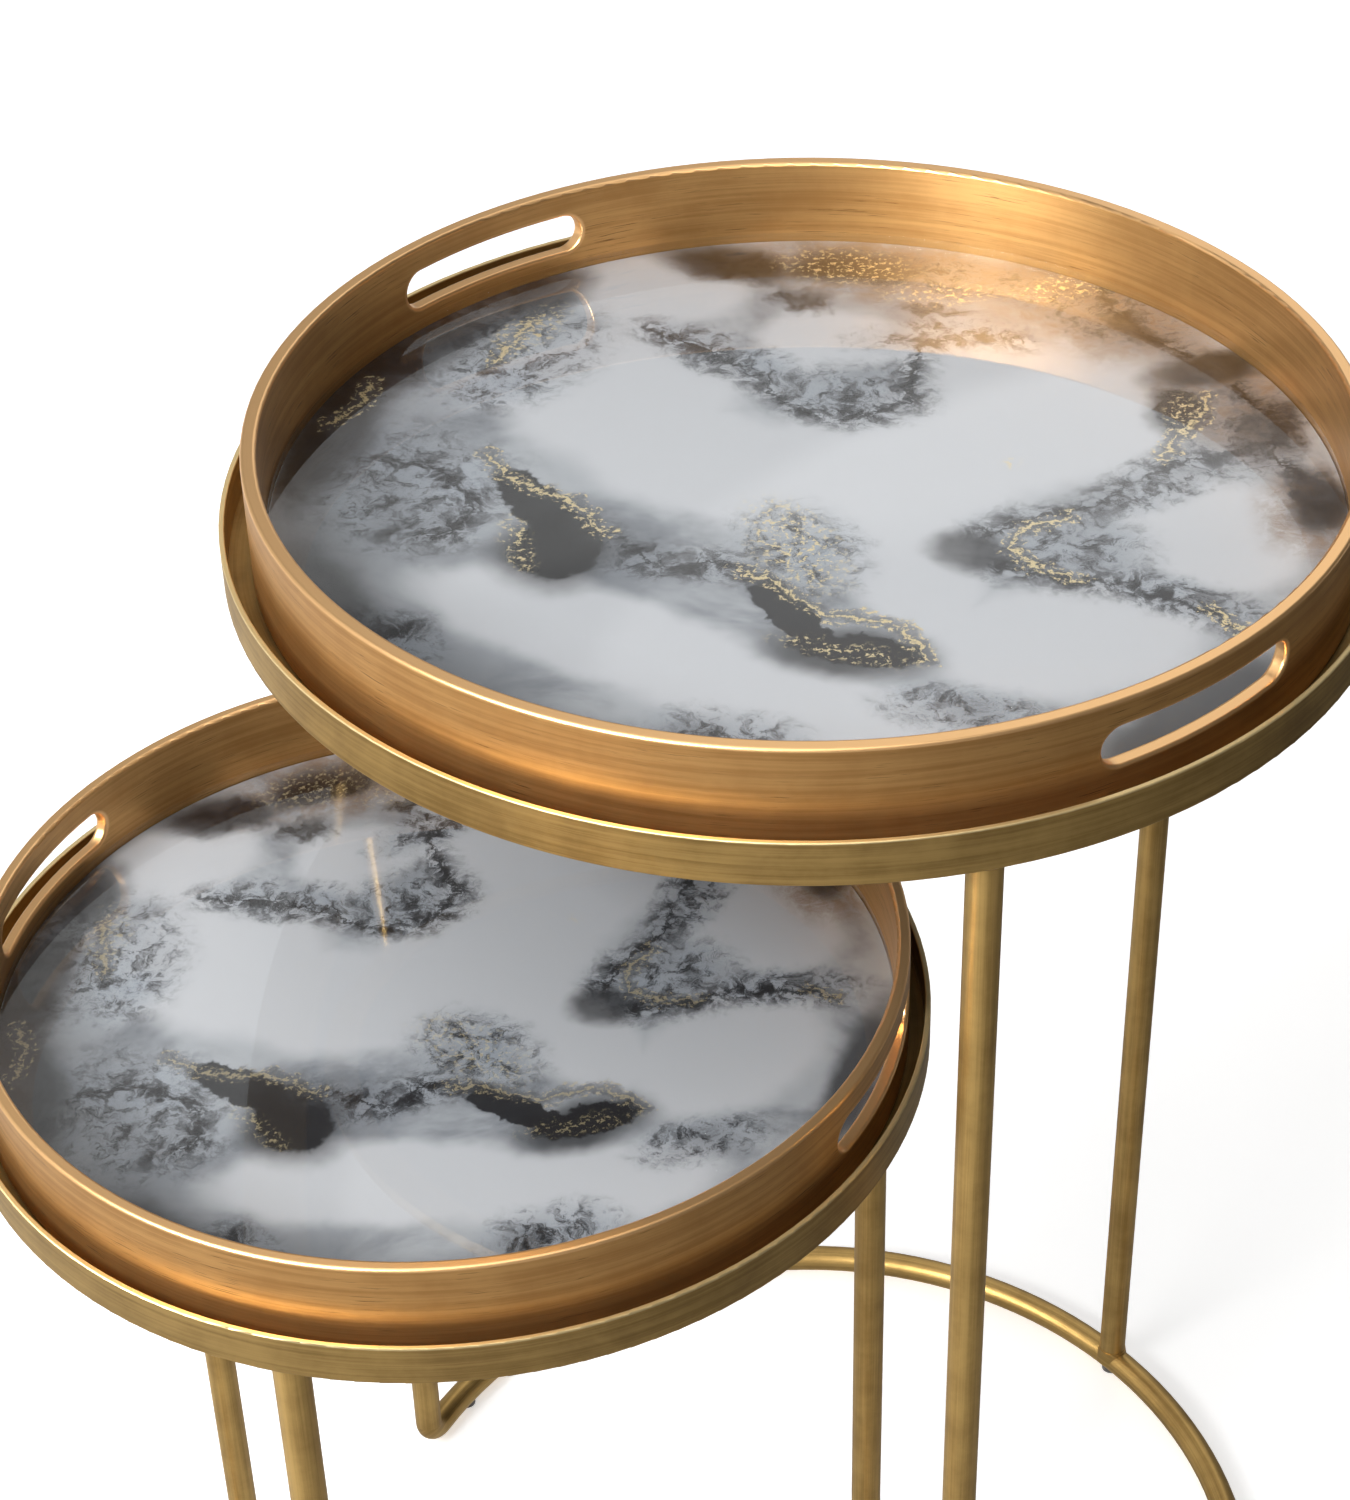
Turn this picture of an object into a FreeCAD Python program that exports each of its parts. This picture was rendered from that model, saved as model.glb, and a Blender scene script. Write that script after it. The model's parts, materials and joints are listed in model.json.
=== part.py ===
# Pair of round tray tables that nest: a large one and a small one that slides in under it.
# Each has a lift-off tray (bent wall, board, printed sheet, glass) on a three-legged steel frame
# whose floor ring is a C, open on one side so that the small table can pass between the legs.
# Millimetres. +Z is up, the floor is z = 0, and the origin is the middle of the pair's footprint.
import FreeCAD, Part
import math
import os

import Sketcher
from FreeCAD import Vector

doc = FreeCAD.newDocument("nesting_tables")

# ---------------------------------------------------------------- driving dimensions

SHARED_SIZES = [
    ("tube_radius", 6.25),        # legs and floor rings, outside
    ("tube_bore", 5.05),          # the same tube, inside
    ("bend_radius", 9.0),         # centre line of the turned-up ends of a floor ring
    ("strip_thickness", 2.0),     # flat bar that is rolled into a hoop
    ("strip_edge", 0.5),          # eased edges of that bar
    ("ledge_width", 15.0),        # flat ring inside the hoop that carries the tray
    ("ledge_thickness", 2.0),
    ("weld_size", 1.5),
    ("rest_pad_radius", 3.5),     # bumpers between tray and ledge
    ("rest_pad_height", 1.5),
    ("glide_radius", 4.5),        # floor protectors under the ring
    ("glide_height", 1.2),
    ("glide_setback", 9.0),       # degrees from a side leg to its glide
    ("glass_thickness", 4.0),
    ("glass_arris", 0.5),
    ("print_thickness", 0.6),
    ("board_thickness", 5.5),
    ("backing_thickness", 0.8),
    ("backing_recess", 0.7),      # backing felt to the bottom edge of the tray wall
    ("fit_clearance", 0.4),       # inserts to the tray wall, on the radius
    ("rim_rounding", 1.3),
    ("slot_rounding", 1.2),
    ("opening_angle", 221.2),     # direction in which the small table pulls out, degrees from +X
    ("pull_out", 172.6),          # small table's axis to the large one's, as set out
]

TABLE_SIZES = {
    "large": [
        ("height", 632.8),        # floor to tray rim
        ("tray_radius", 200.0),   # outside of the tray wall
        ("wall_thickness", 5.8),
        ("tray_depth", 42.1),     # rim to the bottom edge of the tray wall
        ("hoop_gap", 8.3),        # tray wall to the inside of the hoop
        ("hoop_height", 17.0),
        ("slot_length", 84.0),
        ("slot_height", 15.5),
        ("slot_margin", 10.4),    # rim to the top of a hand slot
        ("slot_angle", 130.0),    # direction of one hand slot, the other is opposite
        ("back_leg_angle", 41.2), # the leg opposite the opening of the floor ring
        ("left_spread", 115.0),   # degrees from the back leg to each side leg
        ("right_spread", 115.0),
    ],
    "small": [
        ("height", 487.8),
        ("tray_radius", 166.5),
        ("wall_thickness", 4.8),
        ("tray_depth", 40.3),
        ("hoop_gap", 5.7),
        ("hoop_height", 16.0),
        ("slot_length", 78.0),
        ("slot_height", 14.5),
        ("slot_margin", 10.4),
        ("slot_angle", 161.2),
        ("back_leg_angle", 256.5),
        ("left_spread", 124.5),
        ("right_spread", 115.5),
    ],
}

sheet = doc.addObject("Spreadsheet::Sheet", "Sizes")
rows = SHARED_SIZES + [
    (f"{table}_{name}", value)
    for table, sizes in TABLE_SIZES.items()
    for name, value in sizes
]
for row, (alias, value) in enumerate(rows, start=1):
    sheet.set(f"A{row}", alias)
    sheet.set(f"B{row}", str(value))
    sheet.setAlias(f"B{row}", alias)
doc.recompute()

# ---------------------------------------------------------------- sizes worked out from them


def expand(text, table):
    """Turn $name into the shared size, @name into the table's own size, #name into its worked-out one."""
    return (
        text.replace("$", "Sizes.")
        .replace("@", f"Sizes.{table}_")
        .replace("#", f"{table}_derived.")
    )


def bind(item, table, **expressions):
    for name, text in expressions.items():
        item.setExpression(name.replace("__", "."), expand(text, table))


DERIVED = [
    ("hoop_inner", "@tray_radius + @hoop_gap"),
    ("hoop_outer", "#hoop_inner + $strip_thickness"),
    ("ring_radius", "#hoop_inner - $tube_radius"),
    ("side_leg_radius", "sqrt(#ring_radius ^ 2 + $bend_radius ^ 2)"),
    ("bend_share", "atan($bend_radius / #ring_radius) / (1 deg)"),
    ("arc_left", "@left_spread - #bend_share"),
    ("arc_right", "@right_spread - #bend_share"),
    ("ring_level", "$glide_height + $tube_radius"),
    ("tray_bottom", "@height - @tray_depth"),
    ("ledge_top", "#tray_bottom - $rest_pad_height"),
    ("ledge_bottom", "#ledge_top - $ledge_thickness"),
    ("wall_inner", "@tray_radius - @wall_thickness"),
    ("insert_radius", "#wall_inner - $fit_clearance"),
    ("backing_bottom", "#tray_bottom + $backing_recess"),
    ("board_bottom", "#backing_bottom + $backing_thickness"),
    ("print_bottom", "#board_bottom + $board_thickness"),
    ("glass_bottom", "#print_bottom + $print_thickness"),
    ("slot_level", "@height - @slot_margin - @slot_height / 2"),
]

for table in TABLE_SIZES:
    derived = doc.addObject("App::VarSet", f"{table}_derived")
    for name, text in DERIVED:
        derived.addProperty("App::PropertyFloat", name)
        bind(derived, table, **{name: text})

# The origin is the middle of the pair's footprint, so each table's axis is worked out from both hoops.
layout = doc.addObject("App::VarSet", "layout")
for axis, ratio in (("x", "cos"), ("y", "sin")):
    for name in (f"small_offset_{axis}", f"large_{axis}", f"small_{axis}"):
        layout.addProperty("App::PropertyFloat", name)
    offset = f"layout.small_offset_{axis}"
    low = f"min(-large_derived.hoop_outer; {offset} - small_derived.hoop_outer)"
    high = f"max(large_derived.hoop_outer; {offset} + small_derived.hoop_outer)"
    layout.setExpression(f"small_offset_{axis}", f"Sizes.pull_out * {ratio}(Sizes.opening_angle)")
    layout.setExpression(f"large_{axis}", f"-({low} + {high}) / 2")
    layout.setExpression(f"small_{axis}", f"layout.large_{axis} + {offset}")
doc.recompute()

# ---------------------------------------------------------------- helpers

finished = []


def place(item, table, x="0", y="0", z="0", yaw="0", pitch="0"):
    """Bind an item's whole Placement: a position, then a turn about Z after a turn about Y."""
    text = f"placement(vector({x}; {y}; {z}); rotation({yaw}; {pitch}; 0))"
    item.setExpression("Placement", expand(text, table))


def finish(item, table, name, yaw="@back_leg_angle"):
    """Label a sub-part and stand it on its table's axis, turned to that table's legs."""
    item.Label = f"{table}_{name}"
    place(item, table, f"layout.{table}_x", f"layout.{table}_y", "0", yaw)
    finished.append(item)


def primitive(kind, table, name, **expressions):
    item = doc.addObject(f"Part::{kind}", f"{table}_{name}")
    bind(item, table, **expressions)
    return item


def joined(table, name, items):
    item = doc.addObject("Part::MultiFuse", f"{table}_{name}")
    item.Shapes = items
    return item


def cut(table, name, base, tool):
    item = doc.addObject("Part::Cut", f"{table}_{name}")
    item.Base = base
    item.Tool = tool
    return item


def grouped(table, name, items):
    item = doc.addObject("Part::Compound", f"{table}_{name}")
    item.Links = items
    return item


def plane(body, role):
    return next(item for item in body.Origin.OriginFeatures if item.Role == role)


def new_sketch(body, name, role):
    sketch = body.newObject("Sketcher::SketchObject", name)
    sketch.AttachmentSupport = [(plane(body, role), "")]
    sketch.MapMode = "FlatFace"
    return sketch


def measure(sketch, table, name, constraint, text):
    """Add one dimension to a sketch, named and bound to the sizes."""
    index = sketch.addConstraint(constraint)
    sketch.renameConstraint(index, name)
    sketch.setExpression(f"Constraints.{name}", expand(text, table))


def value_of(text, table):
    return float(sheet.evalExpression(expand(text, table)))


def ring_body(table, name, inner, outer, bottom, top):
    """A body turned from one rectangle: inner and outer radius, bottom and top level."""
    body = doc.addObject("PartDesign::Body", f"{table}_{name}")
    sketch = new_sketch(body, f"{table}_{name}_profile", "XZ_Plane")
    x0, x1, z0, z1 = (value_of(text, table) for text in (inner, outer, bottom, top))
    corners = [Vector(x0, z0, 0), Vector(x1, z0, 0), Vector(x1, z1, 0), Vector(x0, z1, 0)]
    for i in range(4):
        sketch.addGeometry(Part.LineSegment(corners[i], corners[(i + 1) % 4]))
        direction = "Horizontal" if i % 2 == 0 else "Vertical"
        sketch.addConstraint(Sketcher.Constraint(direction, i))
    for i in range(4):
        sketch.addConstraint(Sketcher.Constraint("Coincident", i, 2, (i + 1) % 4, 1))
    measure(sketch, table, "bottom", Sketcher.Constraint("DistanceY", -1, 1, 0, 1, z0), bottom)
    measure(sketch, table, "top", Sketcher.Constraint("DistanceY", -1, 1, 2, 1, z1), top)
    measure(sketch, table, "outer", Sketcher.Constraint("DistanceX", -1, 1, 1, 1, x1), outer)
    if inner == "0":
        sketch.addConstraint(Sketcher.Constraint("PointOnObject", 0, 1, -2))
    else:
        measure(sketch, table, "inner", Sketcher.Constraint("DistanceX", -1, 1, 0, 1, x0), inner)
    turned = body.newObject("PartDesign::Revolution", f"{table}_{name}_turned")
    turned.Profile = sketch
    turned.ReferenceAxis = (sketch, ["V_Axis"])
    turned.Angle = 360
    doc.recompute()
    return body


def edges_where(shape, wanted):
    return [f"Edge{i}" for i, edge in enumerate(shape.Edges, start=1) if wanted(edge)]


def full_circle_at(radius, level):
    def wanted(edge):
        curve = edge.Curve
        if not isinstance(curve, Part.Circle):
            return False
        same_level = abs(curve.Center.z - level) < 0.01
        return same_level and abs(curve.Radius - radius) < 0.01
    return wanted


def ease(body, table, kind, name, size, wanted):
    """Fillet or chamfer the edges of a body's last feature that a test picks out."""
    base = body.Tip
    feature = body.newObject(f"PartDesign::{kind}", f"{table}_{name}")
    feature.Base = (base, edges_where(base.Shape, wanted))
    bind(feature, table, **{"Radius" if kind == "Fillet" else "Size": size})
    doc.recompute()


# ---------------------------------------------------------------- tray


def tray_wall(table):
    """Bent wall with two opposite hand slots, one cut through both sides, and every edge rounded."""
    body = ring_body(table, "tray_wall", "#wall_inner", "@tray_radius", "#tray_bottom", "@height")
    outer = value_of("@tray_radius", table)
    inner = value_of("#wall_inner", table)
    top = value_of("@height", table)
    for radius, side in ((outer, "outer"), (inner, "inner")):
        ease(body, table, "Fillet", f"rim_{side}", "$rim_rounding", full_circle_at(radius, top))

    slot = new_sketch(body, f"{table}_slot_outline", "XZ_Plane")
    level = value_of("#slot_level", table)
    end = value_of("@slot_height / 2", table)
    reach = value_of("(@slot_length - @slot_height) / 2", table)
    for side, start in ((-1, 90), (1, -90)):
        circle = Part.Circle(Vector(side * reach, level, 0), Vector(0, 0, 1), end)
        slot.addGeometry(Part.ArcOfCircle(circle, math.radians(start), math.radians(start + 180)))
    for side in (-1, 1):
        height = level + side * end
        slot.addGeometry(Part.LineSegment(Vector(-reach, height, 0), Vector(reach, height, 0)))
    slot.addConstraint(Sketcher.Constraint("Tangent", 0, 2, 2, 1))
    slot.addConstraint(Sketcher.Constraint("Tangent", 1, 1, 2, 2))
    slot.addConstraint(Sketcher.Constraint("Tangent", 0, 1, 3, 1))
    slot.addConstraint(Sketcher.Constraint("Tangent", 1, 2, 3, 2))
    slot.addConstraint(Sketcher.Constraint("Symmetric", 0, 3, 1, 3, -2))
    measure(slot, table, "level", Sketcher.Constraint("DistanceY", -1, 1, 0, 3, level), "#slot_level")
    measure(slot, table, "end", Sketcher.Constraint("Radius", 0, end), "@slot_height / 2")
    length = Sketcher.Constraint("DistanceX", 0, 3, 1, 3, 2 * reach)
    measure(slot, table, "reach", length, "@slot_length - @slot_height")
    before = body.Shape.Volume
    pocket = body.newObject("PartDesign::Pocket", f"{table}_hand_slots")
    pocket.Profile = slot
    pocket.Type = "ThroughAll"
    pocket.Midplane = True
    doc.recompute()
    removed = before - body.Shape.Volume
    one_slot = value_of("@slot_length * @slot_height * @wall_thickness", table)
    if removed < 1.5 * one_slot:
        raise RuntimeError(f"{table}: the hand slots went through one side only")

    def slot_rim(edge):
        ends = [math.hypot(vertex.X, vertex.Y) for vertex in edge.Vertexes]
        levels = [vertex.Z for vertex in edge.Vertexes]
        on_wall = any(all(abs(r - radius) < 0.01 for r in ends) for radius in (inner, outer))
        inside = all(abs(z - level) < end + 0.01 for z in levels)
        return on_wall and inside and len(ends) == 2 and edge.Length < outer

    ease(body, table, "Fillet", "slot_edges", "$slot_rounding", slot_rim)
    finish(body, table, "tray_wall", "@slot_angle - 90")


def tray_inserts(table):
    """Backing felt, board, printed sheet and glass, stacked inside the wall."""
    layers = [
        ("tray_backing", "#backing_bottom", "#board_bottom"),
        ("tray_board", "#board_bottom", "#print_bottom"),
        ("tray_print", "#print_bottom", "#glass_bottom"),
        ("tray_glass", "#glass_bottom", "#glass_bottom + $glass_thickness"),
    ]
    for name, bottom, top in layers:
        body = ring_body(table, name, "0", "#insert_radius", bottom, top)
        if name == "tray_glass":
            edge = full_circle_at(value_of("#insert_radius", table), value_of(top, table))
            ease(body, table, "Chamfer", "glass_edge", "$glass_arris", edge)
        finish(body, table, name)


# ---------------------------------------------------------------- frame


def hoop(table):
    """Flat bar rolled on edge round the tray, its four edges eased."""
    top = "#ledge_bottom + @hoop_height"
    body = ring_body(table, "hoop", "#hoop_inner", "#hoop_outer", "#ledge_bottom", top)
    for radius, side in (("#hoop_outer", "outer"), ("#hoop_inner", "inner")):
        edge = full_circle_at(value_of(radius, table), value_of(top, table))
        ease(body, table, "Fillet", f"hoop_{side}_edge", "$strip_edge", edge)
    edge = full_circle_at(value_of("#hoop_outer", table), value_of("#ledge_bottom", table))
    ease(body, table, "Fillet", "hoop_lower_edge", "$strip_edge", edge)
    finish(body, table, "hoop")


def ledge(table):
    inner = "#hoop_inner - $ledge_width"
    body = ring_body(table, "ledge", inner, "#hoop_inner", "#ledge_bottom", "#ledge_top")
    finish(body, table, "ledge")


def polar(radius, angle):
    return f"({radius}) * cos({angle})", f"({radius}) * sin({angle})"


LEGS = [("back", "0"), ("left", "@left_spread"), ("right", "-@right_spread")]


def leg_foot(side):
    """Where a leg stands: radius from the table's axis and the level of its lower end."""
    if side == "back":
        return "#ring_radius", "#ring_level"
    return "#side_leg_radius", "#ring_level + $bend_radius"


def legs(table):
    """Three straight tubes. The side legs stand on the ring's turned-up ends, the back one astride it."""
    for side, angle in LEGS:
        radius, foot = leg_foot(side)
        x, y = polar(radius, angle)
        length = f"#ledge_bottom - ({foot})"
        name = f"leg_{side}"
        outer = primitive("Cylinder", table, f"{name}_outer", Radius="$tube_radius", Height=length)
        bore = primitive("Cylinder", table, f"{name}_bore", Radius="$tube_bore", Height=length)
        for part in (outer, bore):
            place(part, table, x, y, foot)
        tool = bore
        if side == "back":
            saddle = primitive("Torus", table, "saddle", Radius1="#ring_radius", Radius2="$tube_radius")
            place(saddle, table, z="#ring_level")
            tool = joined(table, f"{name}_removed", [bore, saddle])
        finish(cut(table, name, outer, tool), table, name)


def ring_tube(table, name, radius):
    """One solid along the floor ring: the C and a quarter bend up at each end."""
    arc = primitive(
        "Torus", table, f"{name}_arc",
        Radius1="#ring_radius", Radius2=radius, Angle3="#arc_left + #arc_right",
    )
    place(arc, table, z="#ring_level", yaw="-#arc_right")
    pieces = [arc]
    for end, angle, turn in (("left", "#arc_left", "0"), ("right", "-#arc_right", "180")):
        bend = primitive(
            "Torus", table, f"{name}_{end}_bend",
            Radius1="$bend_radius", Radius2=radius, Angle3="90",
        )
        x, y = polar("#ring_radius", angle)
        place(bend, table, x, y, "#ring_level + $bend_radius", f"{angle} + {turn}", "90")
        pieces.append(bend)
    return joined(table, name, pieces)


def floor_ring(table):
    outer = ring_tube(table, "floor_ring_outer", "$tube_radius")
    bore = ring_tube(table, "floor_ring_bore", "$tube_bore")
    finish(cut(table, "floor_ring", outer, bore), table, "floor_ring")


def welds(table):
    """Fillet welds: one round the head of each leg, one round the back leg's foot on the ring."""
    beads = []
    for side, angle in LEGS:
        radius, _ = leg_foot(side)
        x, y = polar(radius, angle)
        name = f"weld_{side}"
        level = "#ledge_bottom - $weld_size"
        bead = primitive(
            "Cone", table, f"{name}_bead",
            Radius1="$tube_radius + $weld_size / 6", Radius2="$tube_radius + $weld_size",
            Height="$weld_size",
        )
        tube = primitive("Cylinder", table, f"{name}_tube", Radius="$tube_radius", Height="$weld_size")
        for part in (bead, tube):
            place(part, table, x, y, level)
        beads.append(cut(table, name, bead, tube))

    foot = primitive(
        "Cone", table, "foot_bead",
        Radius1="$tube_radius + $weld_size", Radius2="$tube_radius + $weld_size / 6",
        Height="$tube_radius + $weld_size",
    )
    tube = primitive("Cylinder", table, "foot_tube", Radius="$tube_radius", Height="2 * $tube_radius")
    ring = primitive("Torus", table, "foot_ring", Radius1="#ring_radius", Radius2="$tube_radius")
    for part in (foot, tube):
        place(part, table, "#ring_radius", "0", "#ring_level")
    place(ring, table, z="#ring_level")
    beads.append(cut(table, "weld_foot", foot, joined(table, "foot_removed", [tube, ring])))
    finish(grouped(table, "welds", beads), table, "welds")


def rest_pads(table):
    """Bumpers on the ledge over the legs, under the tray wall."""
    pads = []
    for side, angle in LEGS:
        x, y = polar("@tray_radius - @wall_thickness / 2", angle)
        pad = primitive(
            "Cylinder", table, f"rest_pad_{side}", Radius="$rest_pad_radius", Height="$rest_pad_height"
        )
        place(pad, table, x, y, "#ledge_top")
        pads.append(pad)
    finish(grouped(table, "rest_pads", pads), table, "rest_pads")


def glides(table):
    """Floor protectors, hollowed on top to sit on the round of the ring."""
    pieces = []
    for side, angle in (("back", "0"), ("left", "(@left_spread - $glide_setback)"),
                        ("right", "-(@right_spread - $glide_setback)")):
        x, y = polar("#ring_radius", angle)
        disc = primitive(
            "Cylinder", table, f"glide_{side}_disc",
            Radius="$glide_radius", Height="$glide_height + $tube_radius / 4",
        )
        place(disc, table, x, y)
        ring = primitive(
            "Torus", table, f"glide_{side}_ring", Radius1="#ring_radius", Radius2="$tube_radius"
        )
        place(ring, table, z="#ring_level")
        pieces.append(cut(table, f"glide_{side}", disc, ring))
    finish(grouped(table, "glides", pieces), table, "glides")


# ---------------------------------------------------------------- build, test, write

for table in TABLE_SIZES:
    for build in (tray_wall, tray_inserts, hoop, ledge, legs, floor_ring, welds, rest_pads, glides):
        build(table)
doc.recompute()

for item in doc.Objects:
    if "Invalid" in item.State or "Error" in item.State:
        raise RuntimeError(f"{item.Label} failed: {item.State}")
for item in finished:
    if item.Shape.isNull() or not item.Shape.isValid():
        raise RuntimeError(f"{item.Label} has no valid shape")

os.makedirs("parts", exist_ok=True)
for item in finished:
    item.Shape.exportStep(f"parts/{item.Label}.step")
    solids = len(item.Shape.Solids)
    print(f"{item.Label}: {solids} solid(s), {item.Shape.Volume / 1000:.2f} cm3")
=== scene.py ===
"""A pair of nesting side tables: two lift-off gold trays with a marble-ink print under glass,
each resting in the hoop of a three-legged brass frame. Laid out as an add-on and run as a script."""

import json
import math

import bmesh
import bpy
from mathutils import Matrix, Vector


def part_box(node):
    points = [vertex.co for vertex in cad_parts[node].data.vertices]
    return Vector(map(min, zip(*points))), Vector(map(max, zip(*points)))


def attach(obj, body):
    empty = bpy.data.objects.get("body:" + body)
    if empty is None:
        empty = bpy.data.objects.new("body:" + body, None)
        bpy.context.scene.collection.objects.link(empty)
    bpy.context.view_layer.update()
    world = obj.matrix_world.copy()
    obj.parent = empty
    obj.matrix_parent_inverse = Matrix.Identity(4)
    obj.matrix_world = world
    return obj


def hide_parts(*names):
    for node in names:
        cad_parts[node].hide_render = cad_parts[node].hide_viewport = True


bl_info = {
    "name": "Nesting Tray Tables",
    "version": (1, 0, 0),
    "blender": (4, 5, 0),
    "location": "View3D > Sidebar > Tray Tables",
    "description": "Finishes, glass, weld beads and studio for a pair of nesting tray tables",
    "category": "Object",
}

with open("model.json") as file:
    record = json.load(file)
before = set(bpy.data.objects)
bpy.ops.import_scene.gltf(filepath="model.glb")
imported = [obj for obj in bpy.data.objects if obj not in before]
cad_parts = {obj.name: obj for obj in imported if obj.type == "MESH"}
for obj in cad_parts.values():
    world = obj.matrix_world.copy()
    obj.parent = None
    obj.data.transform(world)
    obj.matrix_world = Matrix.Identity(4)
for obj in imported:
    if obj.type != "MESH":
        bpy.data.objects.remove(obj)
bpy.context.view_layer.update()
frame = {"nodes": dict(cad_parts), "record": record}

MM = 0.001
TABLES = ("large", "small")


# ---------------------------------------------------------------- measures read from the frame


def opening(word):
    """The middle of the record's opening whose name starts with word."""
    for hole in frame["record"]["physics"]["openings"]:
        if hole["name"].startswith(word):
            low, high = (Vector(corner) for corner in hole["box_m"])
            return (low + high) / 2
    raise ValueError("the record has no opening called " + word)


class Table:
    """One table's measures in metres, all taken from its CAD nodes."""

    def __init__(self, name):
        self.name = name
        wall_low, wall_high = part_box(name + "_tray_wall")
        self.axis = (wall_low + wall_high) / 2
        self.axis.z = 0.0
        self.rim = wall_high.z
        glass_low, glass_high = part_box(name + "_tray_glass")
        self.glass_radius = (glass_high.x - glass_low.x) / 2
        self.glass_bottom = glass_low.z
        self.glass_top = glass_high.z
        _, hoop_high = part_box(name + "_hoop")
        self.hoop_top = hoop_high.z
        slot = opening(name + "_hand_slot")
        arm = slot - self.axis
        self.slot_height = slot.z
        self.slot_turn = math.atan2(arm.y, arm.x) % math.pi


MEASURES = {name: Table(name) for name in TABLES}


# ---------------------------------------------------------------- shader sums


class Sock:
    """A node's output, so that sums on a surface are written as sums."""

    def __init__(self, finish, socket):
        self.finish = finish
        self.socket = socket

    def sum(self, operation, first, second=None):
        values = {0: first}
        if second is not None:
            values[1] = second
        return self.finish.node("ShaderNodeMath", {"operation": operation}, values)

    def __add__(self, other):
        return self.sum("ADD", self, other)

    def __radd__(self, other):
        return self.sum("ADD", other, self)

    def __sub__(self, other):
        return self.sum("SUBTRACT", self, other)

    def __rsub__(self, other):
        return self.sum("SUBTRACT", other, self)

    def __mul__(self, other):
        return self.sum("MULTIPLY", self, other)

    def __rmul__(self, other):
        return self.sum("MULTIPLY", other, self)

    def __pow__(self, other):
        return self.sum("POWER", self, other)

    def size(self):
        return self.sum("ABSOLUTE", self)

    def turn(self, other):
        """The angle whose tangent is this value over the other, all the way round."""
        return self.sum("ARCTAN2", self, other)

    def fraction(self):
        return self.sum("FRACT", self)

    def least(self, other):
        return self.sum("MINIMUM", self, other)

    def most(self, other):
        return self.sum("MAXIMUM", self, other)

    def step(self, start, end, low=0.0, high=1.0):
        """A smooth change from low to high as the value goes from start to end."""
        return self.finish.node(
            "ShaderNodeMapRange",
            {"interpolation_type": "SMOOTHSTEP"},
            {"Value": self, "From Min": start, "From Max": end, "To Min": low, "To Max": high},
        )


class Finish:
    """A material being mixed: it adds nodes and joins them to one shader."""

    def __init__(self, name="", tree=None):
        if tree is None:
            self.material = bpy.data.materials.new(name)
            self.material.use_nodes = True
            tree = self.material.node_tree
            tree.nodes.clear()
        self.tree = tree

    def node(self, kind, settings=None, values=None, out=0):
        """Any node: its type, its settings, which are set first, and its sockets' values or links."""
        made = self.tree.nodes.new(kind)
        for key, setting in (settings or {}).items():
            setattr(made, key, setting)
        for key, value in (values or {}).items():
            if isinstance(value, Sock):
                self.tree.links.new(value.socket, made.inputs[key])
            else:
                made.inputs[key].default_value = value
        return Sock(self, made.outputs[out]) if made.outputs else None

    def place(self, at, turn=0.0, size=1.0):
        """Object coordinates measured from a point, turned about Z and divided by a size."""
        raw = self.node("ShaderNodeTexCoord", out="Object")
        return self.node(
            "ShaderNodeMapping",
            {"vector_type": "TEXTURE"},
            {"Vector": raw, "Location": at, "Rotation": (0, 0, turn), "Scale": (size, size, size)},
        )

    def parts(self, vector):
        """The x, y and z of a vector."""
        split = self.node("ShaderNodeSeparateXYZ", None, {0: vector})
        outputs = split.socket.node.outputs
        return [Sock(self, outputs[i]) for i in range(3)]

    def vector(self, x, y, z):
        return self.node("ShaderNodeCombineXYZ", None, {"X": x, "Y": y, "Z": z})

    def vectors(self, operation, first, second=None):
        """Vector Math; a length, a distance or a dot product comes back as a number."""
        values = {0: first} if second is None else {0: first, 1: second}
        out = "Value" if operation in ("LENGTH", "DISTANCE", "DOT_PRODUCT") else 0
        return self.node("ShaderNodeVectorMath", {"operation": operation}, values, out)

    def scaled(self, vector, scale):
        return self.vectors("MULTIPLY", vector, scale)

    def from_axis(self, x, y):
        """How far a point is from the Z axis, or from a line that x and y are measured from."""
        return self.vectors("LENGTH", self.vector(x, y, 0.0))

    def noise(self, vector, scale, detail=3.0, rough=0.5, distortion=0.0, out=0):
        return self.node(
            "ShaderNodeTexNoise",
            None,
            {
                "Vector": vector,
                "Scale": scale,
                "Detail": detail,
                "Roughness": rough,
                "Distortion": distortion,
            },
            out,
        )

    def blend(self, share, first, second):
        """Two colours mixed by a share."""
        return self.node(
            "ShaderNodeMix",
            {"data_type": "RGBA", "clamp_factor": True},
            {0: share, 6: colour(first), 7: colour(second)},
            2,
        )

    def bump(self, height, strength, distance):
        return self.node(
            "ShaderNodeBump",
            None,
            {"Height": height, "Strength": strength, "Distance": distance},
        )

    def shade(self, **values):
        """The Principled shader that the surface shows; an underscore stands for a space."""
        named = {key.replace("_", " "): colour(value) for key, value in values.items()}
        shader = self.node("ShaderNodeBsdfPrincipled", None, named)
        return self.show(shader)

    def show(self, shader):
        self.node("ShaderNodeOutputMaterial", None, {"Surface": shader})
        return self.material


def colour(value):
    """A colour with its fourth number; links and plain numbers pass as they are."""
    if isinstance(value, (Sock, int, float)):
        return value
    return (*tuple(value)[:3], 1.0)


def paint(name, material):
    """Gives a CAD node its finish."""
    node = frame["nodes"][name]
    node.data.materials.clear()
    node.data.materials.append(material)


# ---------------------------------------------------------------- finishes

# Length and height of each tray's hand slots.
SLOT_SIZES = {"large": (84 * MM, 15.5 * MM), "small": (78 * MM, 14.5 * MM)}
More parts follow.
